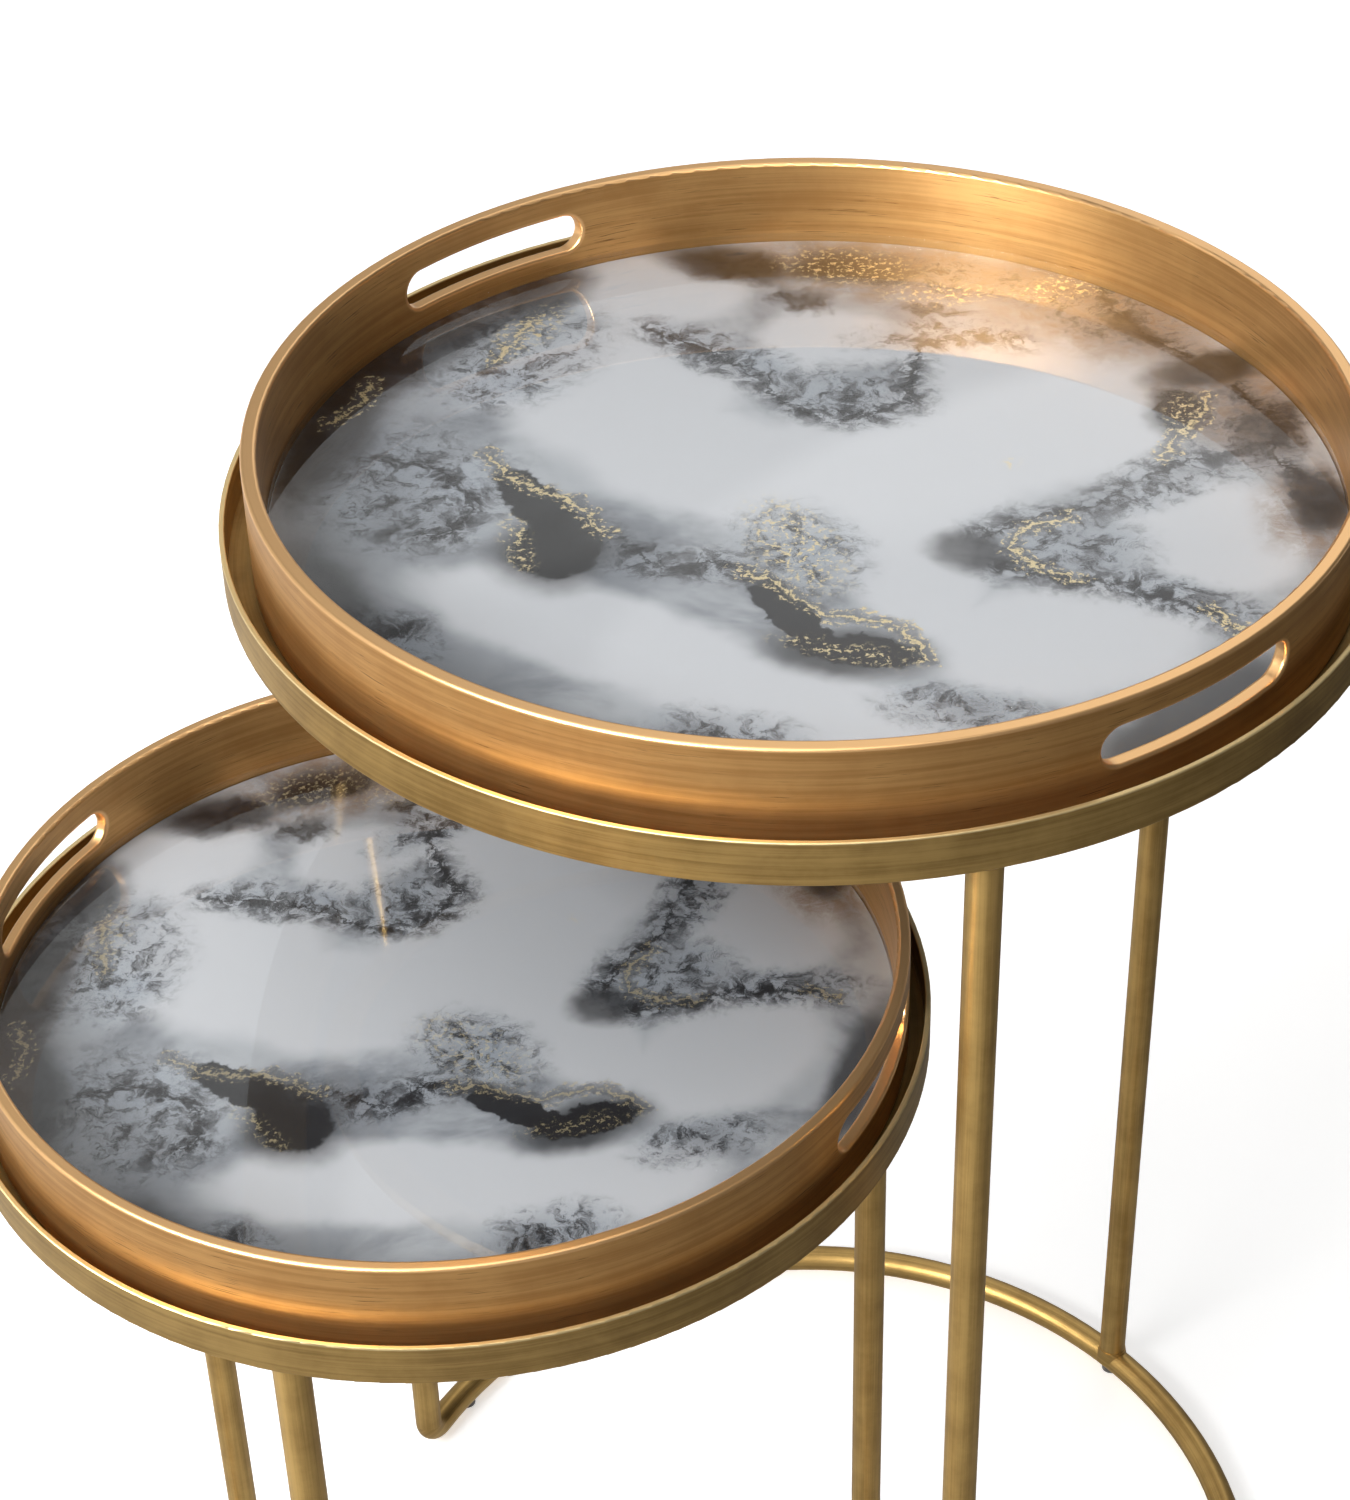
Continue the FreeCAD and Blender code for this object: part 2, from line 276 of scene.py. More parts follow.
# Where rubbed gold with a painted highlight starts and is full, measured from the edge of a slot, the rim
# and the hoop.
RUB_AND_HIGHLIGHT_LIP = (1.9 * MM, 0.6 * MM)
RUB_AND_HIGHLIGHT_RIM = (1.5 * MM, 0.5 * MM)
RUB_AND_HIGHLIGHT_HOOP = (0.9 * MM, 0.2 * MM)

# Brush lines per metre across the stroke, and how slowly they change along it.
FINE_LINES, BROAD_LINES_ROUND, BROAD_LINES_UP = 1500.0, 420.0, 260.0
FINE_RUN, BROAD_RUN = 22.0, 7.0
FINE_RUN_UP, BROAD_RUN_UP = 14.0, 6.0


def brushed(finish, place, along):
    """Fine brush lines: round the piece for a ring or wall, or up and down a leg."""
    x, y, z = finish.parts(place)
    across = z + finish.from_axis(x, y)
    if along == "round":
        fine = finish.vector(x * FINE_RUN, y * FINE_RUN, across * FINE_LINES)
        broad = finish.vector(x * BROAD_RUN, y * BROAD_RUN, across * BROAD_LINES_ROUND)
    else:
        fine = finish.vector(x * FINE_LINES, y * FINE_LINES, z * FINE_RUN_UP)
        broad = finish.vector(x * BROAD_LINES_UP, y * BROAD_LINES_UP, z * BROAD_RUN_UP)
    return (
        finish.noise(fine, 1.0, 4.0, 0.62),
        finish.noise(broad, 1.0, 5.0, 0.6),
        finish.noise(place, 38.0, 6.0, 0.62),
        across,
    )


def tray_gold(table, look):
    """Satin antique gold: brushed round the wall, rubbed pale on the rim and the slot edges, with a
    painted highlight there.
    """
    finish = Finish(table.name + "_antique_gold")
    place = finish.place(table.axis)
    fine, broad, patch, across = brushed(finish, place, "round")
    x, y, z = finish.parts(place)
    scratch = finish.noise(finish.vector(x * 60.0, y * 60.0, across * 2200.0), 1.0, 2.0, 0.5)
    dashes = scratch.step(0.62, 0.70) * patch.step(0.44, 0.6)
    tone = broad * 0.55 + patch * 0.3 + fine * 0.15
    body = finish.blend(tone.step(0.37, 0.61), look.bronze, look.gold)
    body = finish.blend(dashes * 0.75, body, look.scratch)
    # the hand slots lie on one line through the axis, so one sum serves both
    length, height = SLOT_SIZES[table.name]
    turn = table.slot_turn
    side = (y * math.cos(turn) - x * math.sin(turn)).size()
    over = (side - (length - height) / 2).most(0.0)
    rise = z - table.slot_height
    # the slot edges and the rim are painted paler: rubbed gold and a painted highlight on their rounded
    # edges
    lip = (finish.from_axis(over, rise) - height / 2).size().step(*RUB_AND_HIGHLIGHT_LIP)
    top = z.step(table.rim - RUB_AND_HIGHLIGHT_RIM[0], table.rim - RUB_AND_HIGHLIGHT_RIM[1])
    worn_and_highlight = lip.most(top)
    body = finish.blend(worn_and_highlight * 0.9, body, look.worn_and_highlight)
    gloss = look.roughness + fine * 0.1 - broad * 0.05 - worn_and_highlight * 0.06
    relief = fine * 0.6 + broad * 0.4
    return finish.shade(
        Base_Color=body,
        Metallic=look.metal,
        Roughness=gloss,
        Normal=finish.bump(relief, 0.35, 0.00012),
    )


def frame_brass(table, look, along, tag, lift=1.0):
    """Olive antique brass with brush lines, brown patina and a paler top edge on the hoops, rubbed and
    with a painted highlight.
    """
    finish = Finish(table.name + "_" + tag + "_brass")
    place = finish.place(table.axis)
    fine, broad, patch, _ = brushed(finish, place, along)
    _, _, z = finish.parts(place)
    cloud = finish.noise(place, 14.0, 5.0, 0.6, 0.6)
    tone = broad * 0.45 + patch * 0.35 + fine * 0.2
    # above 1 this gives the legs and floor rings a paler copy of the hoop brass: painted light for the
    # light they catch
    patina = [part * lift for part in look.patina]
    brass = [part * lift for part in look.brass]
    body = finish.blend(tone.step(0.36, 0.62), patina, brass)
    stain = 0.45 if tag == "hoop" else 0.2
    body = finish.blend(cloud.step(0.5, 0.75) * stain, body, look.brown)
    if tag == "hoop":
        # the hoop's top edge is painted paler: rubbed brass and a painted highlight of its rounding
        edge = z.step(table.hoop_top - RUB_AND_HIGHLIGHT_HOOP[0], table.hoop_top - RUB_AND_HIGHLIGHT_HOOP[1])
        body = finish.blend(edge * 0.8, body, look.worn_and_highlight)
    gloss = look.roughness + fine * 0.12 - broad * 0.04 + cloud * 0.05
    return finish.shade(
        Base_Color=body,
        Metallic=look.metal,
        Roughness=gloss,
        Normal=finish.bump(fine * 0.5 + patch * 0.5, 0.35, 0.00015),
    )


# The print is laid out on a disc of radius 1 with +X to the right, for a tray whose slots
# point this way; each tray turns it with its own slots.
PRINT_TURN = math.radians(130.0)

# How richly each tray's print is gilded.
GILDING = {"large": 1.0, "small": 0.4}

# Soft forms: middle, half sizes, turn in degrees.
POOLS = (
    ((-0.36, 0.40), (0.23, 0.25), 0),
    ((-0.20, 0.13), (0.27, 0.17), -35),
    ((0.08, 0.08), (0.36, 0.20), 0),
    ((0.42, 0.28), (0.30, 0.26), 30),
    ((0.19, -0.22), (0.12, 0.26), 10),
    ((-0.38, -0.44), (0.34, 0.13), -28),
    ((-0.02, -0.66), (0.30, 0.12), -22),
    ((0.45, -0.46), (0.25, 0.16), 15),
    ((-0.30, 0.79), (0.17, 0.14), 0),
    ((0.05, 0.58), (0.14, 0.11), 0),
    ((0.75, -0.13), (0.16, 0.20), 10),
    ((0.36, 0.55), (0.20, 0.12), 0),
)
CRISP_DARKS = (
    ((-0.455, -0.17), (0.085, 0.115), -10),
    ((-0.50, -0.02), (0.055, 0.16), 28),
    ((0.09, -0.50), (0.13, 0.05), -12),
    ((-0.03, -0.39), (0.045, 0.14), 31),
    ((0.72, 0.31), (0.045, 0.08), -8),
)
# Ragged darks, torn by the lichen; the four along the upper left rim are ink and a painted shadow of the
# tray wall.
TORN_DARKS_AND_WALL_SHADOW = (
    ((-0.14, 0.88), (0.17, 0.075), -16),
    ((0.09, 0.86), (0.15, 0.055), -8),
    ((-0.01, 0.75), (0.09, 0.06), -35),
    ((0.26, 0.71), (0.09, 0.025), -4),
    ((0.80, 0.47), (0.14, 0.07), 22),
    ((0.88, 0.24), (0.08, 0.12), -15),
    ((0.95, 0.00), (0.07, 0.12), 0),
    ((0.66, 0.62), (0.10, 0.05), -50),
    # Along the upper left rim: ink and a painted shadow of the tray wall.
    ((-0.84, 0.46), (0.10, 0.28), -34),
    ((-0.60, 0.78), (0.08, 0.18), -48),
    ((-0.95, 0.16), (0.06, 0.24), -4),
    ((-0.71, 0.63), (0.08, 0.20), -43),
)
# Darks of the ink; some of them also paint the tray wall's shade, as noted below.
DARKS_AND_WALL_SHADE = (
    ((-0.47, -0.19), (0.11, 0.13), 0),
    ((0.06, -0.50), (0.16, 0.08), -12),
    ((0.30, -0.18), (0.08, 0.07), 0),
    ((0.71, 0.31), (0.055, 0.10), -8),
    ((0.79, 0.46), (0.13, 0.06), 25),
    ((0.96, -0.03), (0.07, 0.10), 0),
    ((-0.17, 0.92), (0.14, 0.08), -12),
    ((0.08, 0.89), (0.15, 0.07), -5),
    # These three along the upper left rim are ink and a painted shadow of the tray wall.
    ((-0.54, 0.78), (0.09, 0.14), -40),
    ((-0.80, 0.56), (0.14, 0.24), -38),
    ((-0.93, 0.22), (0.10, 0.28), -12),
    ((-0.88, -0.34), (0.10, 0.22), 25),
    # Painted shade only: the wall's shade and reflection on the print under the front right slot, seen
    # through the slot.
    ((0.66, -0.68), (0.07, 0.30), -46),
)
SMOKES = (
    ((-0.86, 0.02), (0.20, 0.50), 0),
    ((-0.70, -0.55), (0.34, 0.16), -42),
    ((-0.36, -0.82), (0.34, 0.11), -18),
    ((-0.45, -0.22), (0.22, 0.16), 0),
)
MOTTLES = (
    ((-0.74, 0.03), (0.20, 0.24), 10),
    ((-0.58, 0.52), (0.16, 0.24), -30),
    ((0.10, 0.37), (0.15, 0.13), 0),
    ((-0.16, 0.53), (0.20, 0.08), -38),
    ((0.26, 0.61), (0.18, 0.07), 8),
    ((-0.02, -0.18), (0.13, 0.17), 20),
    ((-0.24, -0.22), (0.17, 0.07), -5),
    ((0.46, -0.17), (0.17, 0.13), 0),
    ((0.66, 0.05), (0.22, 0.08), 35),
    ((0.67, -0.33), (0.20, 0.06), -30),
    ((-0.15, -0.76), (0.16, 0.09), -8),
    ((0.27, -0.68), (0.16, 0.07), -12),
    ((0.84, 0.24), (0.13, 0.20), -20),
    ((0.60, 0.68), (0.22, 0.12), -35),
    ((-0.76, -0.45), (0.14, 0.08), -25),
    ((0.30, 0.84), (0.28, 0.09), -14),
)
BROWNS = (
    ((0.58, 0.70), (0.30, 0.16), -38),
    ((0.84, 0.36), (0.16, 0.20), 0),
    ((0.20, 0.86), (0.40, 0.13), -8),
    ((0.94, -0.05), (0.10, 0.16), 0),
)
GLITTER = (
    ((0.08, 0.89), (0.14, 0.08), -8),
    ((0.27, 0.77), (0.13, 0.05), 0),
    ((0.52, 0.80), (0.12, 0.05), 15),
    ((-0.02, -0.16), (0.08, 0.17), 20),
    ((-0.56, 0.62), (0.05, 0.12), -30),
    ((-0.53, -0.15), (0.03, 0.10), 12),
    ((0.06, -0.50), (0.14, 0.03), -20),
    ((0.72, 0.30), (0.03, 0.08), -8),
    ((0.38, 0.12), (0.02, 0.02), 0),
)
# Veins: points from end to end.
GOLD_VEINS = (
    ((-0.61, 0.16), (-0.57, 0.09), (-0.50, 0.03), (-0.44, -0.01), (-0.39, -0.09), (-0.37, -0.13)),
    ((-0.12, -0.24), (-0.04, -0.31), (0.04, -0.39), (0.11, -0.40), (0.17, -0.43), (0.22, -0.53)),
    ((0.48, -0.07), (0.40, -0.11), (0.37, -0.18), (0.41, -0.24), (0.50, -0.28)),
    ((0.78, 0.37), (0.76, 0.28), (0.70, 0.20), (0.68, 0.14)),
    ((0.72, -0.37), (0.76, -0.43)),
    ((-0.62, 0.50), (-0.58, 0.60), (-0.55, 0.66)),
    ((-0.92, 0.26), (-0.87, 0.34), (-0.85, 0.42)),
)
DARK_VEINS = (
    ((-0.39, -0.10), (-0.34, -0.16), (-0.29, -0.22), (-0.22, -0.24), (-0.15, -0.21), (-0.11, -0.26)),
    ((-0.31, 0.63), (-0.18, 0.53), (-0.10, 0.43), (-0.02, 0.32), (0.09, 0.28), (0.19, 0.34)),
    ((0.19, 0.34), (0.21, 0.46), (0.23, 0.57), (0.34, 0.61), (0.43, 0.57)),
    ((0.32, -0.14), (0.42, -0.07), (0.54, -0.03), (0.62, 0.06), (0.72, 0.13), (0.79, 0.14)),
    ((0.34, -0.23), (0.46, -0.28), (0.57, -0.29), (0.66, -0.34), (0.76, -0.43)),
    ((0.60, 0.78), (0.64, 0.66), (0.72, 0.55), (0.78, 0.47)),
    ((0.84, 0.40), (0.90, 0.26), (0.88, 0.14), (0.95, 0.02)),
    ((-0.82, -0.42), (-0.76, -0.46), (-0.70, -0.42)),
    ((-0.84, 0.14), (-0.70, 0.10), (-0.62, -0.02), (-0.66, -0.14), (-0.76, -0.12)),
)

# Noises of the print: scale, detail, roughness and distortion.
PRINT_NOISE = {
    "cloud": (4.2, 6.0, 0.6, 0.5),
    "lichen": (20.0, 9.0, 0.75, 0.3),
    "contour": (7.5, 7.0, 0.62, 0.0),
    "grit": (75.0, 4.0, 0.7, 0.3),
    "grains": (48.0, 8.0, 0.8, 0.4),
    "fade": (7.0, 2.0, 0.5, 0.0),
}
# How many lines nest inside each other in the lichen.
CONTOURS = 9.0
# Half widths of veins and their shadows, as (outer, inner).
DARK_HALO = (0.075, 0.0)
DARK_CORE = (0.030, 0.004)
DARK_LINE = (0.007, 0.002)
GOLD_LINE = (0.0060, 0.0028)
GOLD_SHADOW = (0.030, 0.006)
# A second, broken gold line runs this far from the first.
GOLD_TWIN, GOLD_TWIN_LINE = 0.019, (0.005, 0.002)


def soft_forms(finish, place, forms, inner, outer):
    """1 inside any of the forms, falling smoothly to 0 outside."""
    found = None
    for (cx, cy), (w, h), turn in forms:
        local = finish.node(
            "ShaderNodeMapping",
            {"vector_type": "TEXTURE"},
            {
                "Vector": place,
                "Location": (cx, cy, 0.0),
                "Rotation": (0.0, 0.0, math.radians(turn)),
                "Scale": (w, h, 1.0),
            },
        )
        reach = finish.vectors("LENGTH", local)
        found = reach if found is None else found.least(reach)
    return found.step(outer, inner)


def vein_distance(finish, place, veins):
    """How far a point is from the nearest vein."""
    found = None
    for vein in veins:
        for start, end in zip(vein, vein[1:]):
            run = (end[0] - start[0], end[1] - start[1], 0.0)
            square = run[0] ** 2 + run[1] ** 2
            along = (run[0] / square, run[1] / square, 0.0)
            from_start = finish.vectors("SUBTRACT", place, (*start, 0.0))
            share = finish.vectors("DOT_PRODUCT", from_start, along)
            share = finish.node("ShaderNodeClamp", None, {"Value": share})
            foot = finish.node(
                "ShaderNodeVectorMath", {"operation": "SCALE"}, {0: run, "Scale": share}
            )
            reach = finish.vectors("DISTANCE", from_start, foot)
            found = reach if found is None else found.least(reach)
    return found


def wander(finish, place, scale, amount, detail):
    """The place pushed about by noise, so that drawn forms look like run ink."""
    push = finish.noise(place, scale, detail, 0.6, 0.0, "Color")
    push = finish.vectors("SUBTRACT", push, (0.5, 0.5, 0.5))
    return finish.vectors("ADD", place, finish.scaled(push, (amount, amount, 0.0)))


def marble_print(table, look):
    """Run ink on a pale ground: milky pools, smoky darks, lichen mottle and veins of gold leaf."""
    finish = Finish(table.name + "_marble_print")
    turn = table.slot_turn - PRINT_TURN
    spot = finish.place(table.axis, turn, table.glass_radius)
    flat = finish.scaled(spot, (1.0, 1.0, 0.0))
    loose = wander(finish, flat, 3.4, 0.12, 4.0)
    ragged = wander(finish, wander(finish, flat, 5.0, 0.05, 3.0), 30.0, 0.060, 6.0)
    torn = wander(finish, ragged, 95.0, 0.036, 4.0)

    swirl = wander(finish, flat, 8.0, 0.14, 4.0)
    cloud = finish.noise(flat, *PRINT_NOISE["cloud"])
    lichen = finish.noise(swirl, *PRINT_NOISE["lichen"])
    contour = finish.noise(swirl, *PRINT_NOISE["contour"])
    grit = finish.noise(flat, *PRINT_NOISE["grit"])
    grains = finish.noise(ragged, *PRINT_NOISE["grains"])
    fade = finish.noise(flat, *PRINT_NOISE["fade"]).step(0.32, 0.55, 0.35, 1.0)
    bands = (contour * CONTOURS).fraction()
    lines = (bands - 0.5).size().step(0.16, 0.02)

    pools = soft_forms(finish, loose, POOLS, 0.85, 1.30)
    crisp = soft_forms(finish, ragged, CRISP_DARKS, 0.86, 1.06)
    rags_and_wall_shadow = soft_forms(finish, wander(finish, swirl, 26.0, 0.07, 5.0), TORN_DARKS_AND_WALL_SHADOW, 0.35, 1.15)
    # The darks and the torn darks also paint the tray wall's shadow along the upper left rim and its
    # shade under a slot.
    darks = soft_forms(finish, loose, DARKS_AND_WALL_SHADE, 0.50, 1.30)
    smoke = soft_forms(finish, loose, SMOKES, 0.40, 1.30)
    mottle = soft_forms(finish, ragged, MOTTLES, 0.35, 1.30)
    browns = soft_forms(finish, loose, BROWNS, 0.5, 1.4)
    glitter = soft_forms(finish, ragged, GLITTER, 0.5, 1.3)

    ground = finish.blend(cloud.step(0.30, 0.60), look.grey, look.mist)
    ground = finish.blend(smoke * 0.75, ground, look.grey)
    ground = finish.blend(pools * (1.0 - mottle * 0.5), ground, look.milk)
    ground = finish.blend(mottle * cloud.step(0.35, 0.7) * 0.6, ground, look.blue)
    ground = finish.blend(mottle * lichen.step(0.53, 0.43) * 0.65, ground, look.shade)
    ground = finish.blend(mottle * lichen.step(0.45, 0.36) * 0.9, ground, look.ink)
    ground = finish.blend(mottle * lines * lichen.step(0.56, 0.46) * 0.8, ground, look.ink)
    ground = finish.blend(mottle * grains.step(0.44, 0.36) * 0.9, ground, look.ink)
    ground = finish.blend(mottle * grains.step(0.60, 0.70) * 0.5, ground, look.milk)
    ground = finish.blend(browns * lichen.step(0.30, 0.65) * 0.75, ground, look.brown)
    ground = finish.blend(darks * (0.62 + cloud * 0.4), ground, look.ink)
    # ink, with a painted shadow of the tray wall along the upper left rim
    ground = finish.blend((rags_and_wall_shadow * (0.72 + lichen.step(0.58, 0.40) * 0.4)).least(0.97), ground, look.ink)
    ground = finish.blend((crisp * (0.80 + cloud * 0.4)).least(0.97), ground, look.ink)

    thread = vein_distance(finish, torn, DARK_VEINS)
    halo = thread.step(*DARK_HALO) * lichen.step(0.60, 0.42)
    ground = finish.blend(halo * 0.85, ground, look.shade)
    core = thread.step(*DARK_CORE) * lichen.step(0.56, 0.42)
    ground = finish.blend(core.most(thread.step(*DARK_LINE) * fade) * 0.9, ground, look.ink)

    leaf = vein_distance(finish, torn, GOLD_VEINS)
    broken = grit.step(0.40, 0.48)
    beside = (leaf - GOLD_TWIN).size().step(*GOLD_TWIN_LINE) * grit.step(0.50, 0.57)
    gold = leaf.step(*GOLD_LINE) * broken
    gold = gold.most(beside)
    ground = finish.blend(leaf.step(*GOLD_SHADOW) * 0.6, ground, look.shade)
    flecks = glitter * grit.step(0.53, 0.60)
    gold = gold.most(flecks)
    gold = gold * GILDING[table.name]
    ground = finish.blend(gold, ground, look.leaf)
    return finish.shade(
        Base_Color=ground,
        Metallic=gold * 0.55,
        Roughness=0.42 - gold * 0.12,
        Specular_IOR_Level=0.25,
        Normal=finish.bump(gold + grit * 0.2, 0.25, 0.0001),
    )


def clear_glass(table, look):
    """Plain float glass: clear, with a mirror that grows towards a grazing view."""
    finish = Finish(table.name + "_clear_glass")
    facing = finish.node("ShaderNodeLayerWeight", None, {"Blend": 0.5}, "Facing")
    mirror = look.mirror + (1.0 - look.mirror) * facing**5.0
    smear = finish.noise(finish.place(table.axis), 9.0, 2.0, 0.5)
    clear = finish.node("ShaderNodeBsdfTransparent", None, {"Color": colour(look.glass)})
    gloss = finish.node(
        "ShaderNodeBsdfPrincipled",
        None,
        {
            "Base Color": (1.0, 1.0, 1.0, 1.0),
            "Metallic": 1.0,
            "Roughness": 0.012 + smear * 0.02,
        },
    )
    return finish.show(finish.node("ShaderNodeMixShader", None, {0: mirror, 1: clear, 2: gloss}))


def painted_board(table, look):
    """Dark stained fibreboard with its fine flecks."""
    finish = Finish(table.name + "_stained_board")
    place = finish.place(table.axis)
    fleck = finish.noise(place, 900.0, 3.0, 0.6)
    cloud = finish.noise(place, 24.0, 4.0, 0.6)
    body = finish.blend(fleck * 0.6 + cloud * 0.4, look.board_dark, look.board_light)
    return finish.shade(
        Base_Color=body,
        Roughness=0.62 + fleck * 0.2,
        Normal=finish.bump(fleck, 0.3, 0.0001),
    )


def felt(table, look):
    """Black backing felt: matted fibres with a soft sheen."""
    finish = Finish(table.name + "_backing_felt")
    place = finish.place(table.axis)
    fibre = finish.noise(place, 1400.0, 4.0, 0.75, 1.5)
    cloud = finish.noise(place, 60.0, 5.0, 0.65)
    body = finish.blend(fibre * 0.65 + cloud * 0.35, look.felt_dark, look.felt_light)
    return finish.shade(
        Base_Color=body,
        Roughness=0.95,
        Sheen_Weight=0.35,
        Normal=finish.bump(fibre, 0.6, 0.0003),
    )


def moulded(table, tag, dark, light, roughness):
    """Moulded rubber or plastic: a fine grain with slight scuffing."""
    finish = Finish(table.name + "_" + tag)
    place = finish.place(table.axis)
    grain = finish.noise(place, 1600.0, 3.0, 0.6)
    scuff = finish.noise(place, 220.0, 4.0, 0.65, 0.8)
    body = finish.blend(scuff.step(0.4, 0.7), dark, light)
    return finish.shade(
        Base_Color=body,
        Roughness=roughness + scuff * 0.15,
        Normal=finish.bump(grain, 0.25, 0.0001),
    )


# ---------------------------------------------------------------- what a user may change


def tint(name, note, value):
    return bpy.props.FloatVectorProperty(
        name=name, description=note, default=value, subtype="COLOR", size=3, min=0.0, max=1.0
    )


def amount(name, note, value, low=0.0, high=1.0):
    return bpy.props.FloatProperty(name=name, description=note, default=value, min=low, max=high)


def length(name, note, value):
    return bpy.props.FloatProperty(
        name=name, description=note, default=value, subtype="DISTANCE", unit="LENGTH"
    )


# The studio: positions, aims and sizes in metres.
OVERHEAD = {"at": (-0.5, -0.7, 2.6), "aim": (0.0, 0.0, 0.4), "size": (2.2, 2.0)}
KEY = {"at": (-1.7, -1.8, 2.3), "aim": (0.0, 0.0, 0.5), "size": (1.3, 1.3)}
RIGHT_FLAG = {"at": (1.6, -0.5, 0.6), "aim": (0.2, 0.0, 0.6), "size": (2.2, 1.5)}
KEY_GLOW = {"at": (-1.8, -1.9, 2.45), "aim": (0.0, 0.0, 0.5), "size": (2.2, 1.9)}
FLOOR_CARD = {"at": (0.0, 0.0, 0.004), "aim": (0.0, 0.0, 1.0), "size": (6.0, 6.0)}
FLOOR_RADIUS = 14.0
FLOOR_SIDES = 96
FLOOR_MOTTLE = 0.985
# What shows all round the studio, by direction: angles from straight behind towards the right in
# radians, heights from -1 to 1, and where each soft border starts and ends.
BACKDROP = 0.98
PANEL_ANGLE, PANEL_HEIGHT, PANEL_LEAN = 0.0925, 0.579, 0.98
PANEL_EDGE, PANEL_END, PANEL_FOOT = (-0.035, 0.035), (0.60, 0.24), (0.10, 0.30)
LEFT_WALL, LEFT_FOOT = (-0.3, -1.2), (-0.1, 0.2)
DIM_START, DIM_END, DIM_TOP, DIM_SHARE = (0.5, 1.1), (3.0, 2.4), (0.95, 0.70), 0.9
# The camera stands this far in front of the large tray's axis and this far above its rim.
CAMERA_BACK = 1026.49 * MM
CAMERA_UP = 613.55 * MM
CAMERA_TURNS = (38.099, -0.734, -0.502)
CAMERA_SHIFT = (-0.0658, 0.0591)
CAMERA_REACH = 60.0
SENSOR_WIDTH = 36.0
# The panes: sides round, steps in the arris, and when an edge is sharp or level.
PANE_SIDES = 160
ARRIS_SEGMENTS = 2
SHARP_ABOVE = math.radians(30.0)
LEVEL = 1e-7


class TrayLook(bpy.types.PropertyGroup):
    gold: tint("Gold", "Brushed gold of the tray walls", (0.60, 0.34, 0.125))
    bronze: tint("Bronze", "Darker tone between the brush lines", (0.45, 0.235, 0.078))
    scratch: tint("Scratch", "Short dark brush marks", (0.12, 0.06, 0.025))
    # rubbed gold and a painted highlight on the rim and slot edges
    worn_and_highlight: tint("Worn edge", "Rubbed gold on the rim and slot edges", (0.88, 0.54, 0.25))
    roughness: amount("Roughness", "How satin the tray walls are", 0.34)
    metal: amount("Metal", "How far the gold coat mirrors like metal", 0.86)


class FrameLook(bpy.types.PropertyGroup):
    brass: tint("Brass", "Brushed brass of the frames", (0.44, 0.29, 0.100))
    patina: tint("Patina", "Dulled tone between the brush lines", (0.25, 0.155, 0.048))
    brown: tint("Brown", "Brown clouds in the patina", (0.15, 0.085, 0.034))
    # rubbed brass and a painted highlight on the hoops' top edge
    worn_and_highlight: tint("Worn edge", "Rubbed top edge of the hoops", (0.85, 0.68, 0.36))
    roughness: amount("Roughness", "How satin the frames are", 0.36)
    metal: amount("Metal", "How far the frames mirror like metal", 0.84)
    # the paler legs and floor rings are painted light: a lit copy of the hoop brass
    lift: amount("Leg lift", "How much paler the legs and floor rings are than the hoops", 1.4, 0.5, 2.0)


class PrintLook(bpy.types.PropertyGroup):
    milk: tint("Milk", "Pale pools", (0.54, 0.54, 0.57))
    mist: tint("Mist", "Lighter ground between the pools", (0.40, 0.41, 0.44))
    grey: tint("Grey", "Darker ground between the pools", (0.19, 0.20, 0.225))
    blue: tint("Blue", "Blue-grey under the mottle", (0.25, 0.285, 0.34))
    shade: tint("Shade", "Dark grey grains and halos", (0.055, 0.055, 0.062))
    # this colour also paints the tray wall's shadow in some of the darks
    ink: tint("Ink", "Smoky darks and fine veins", (0.011, 0.010, 0.012))
    brown: tint("Brown", "Warm stain at one side", (0.20, 0.11, 0.05))
    leaf: tint("Gold leaf", "Veins and flecks", (0.76, 0.62, 0.36))


class GlassLook(bpy.types.PropertyGroup):
    glass: tint("Tint", "Colour of the glass seen square on", (0.97, 0.98, 0.98))
    mirror: amount("Mirror", "Share of light mirrored when seen square on", 0.045)
    gap: length("Gap", "Air between the glass and the print", 0.05 * MM)
    arris: length("Arris", "Polished edge of the glass", 0.5 * MM)


class PlainLook(bpy.types.PropertyGroup):
    board_dark: tint("Board dark", "Fibreboard, darker flecks", (0.020, 0.015, 0.012))
    board_light: tint("Board light", "Fibreboard, paler flecks", (0.060, 0.045, 0.032))
    felt_dark: tint("Felt dark", "Backing felt in shade", (0.010, 0.010, 0.011))
    felt_light: tint("Felt light", "Backing felt fibres", (0.045, 0.045, 0.050))
    rubber: tint("Rubber", "Rest pads", (0.03, 0.03, 0.03))
    rubber_scuff: tint("Rubber scuff", "Rubbed rest pads", (0.07, 0.07, 0.07))
    glide: tint("Glide", "Floor glides", (0.05, 0.045, 0.04))
    glide_scuff: tint("Glide scuff", "Rubbed floor glides", (0.12, 0.11, 0.10))


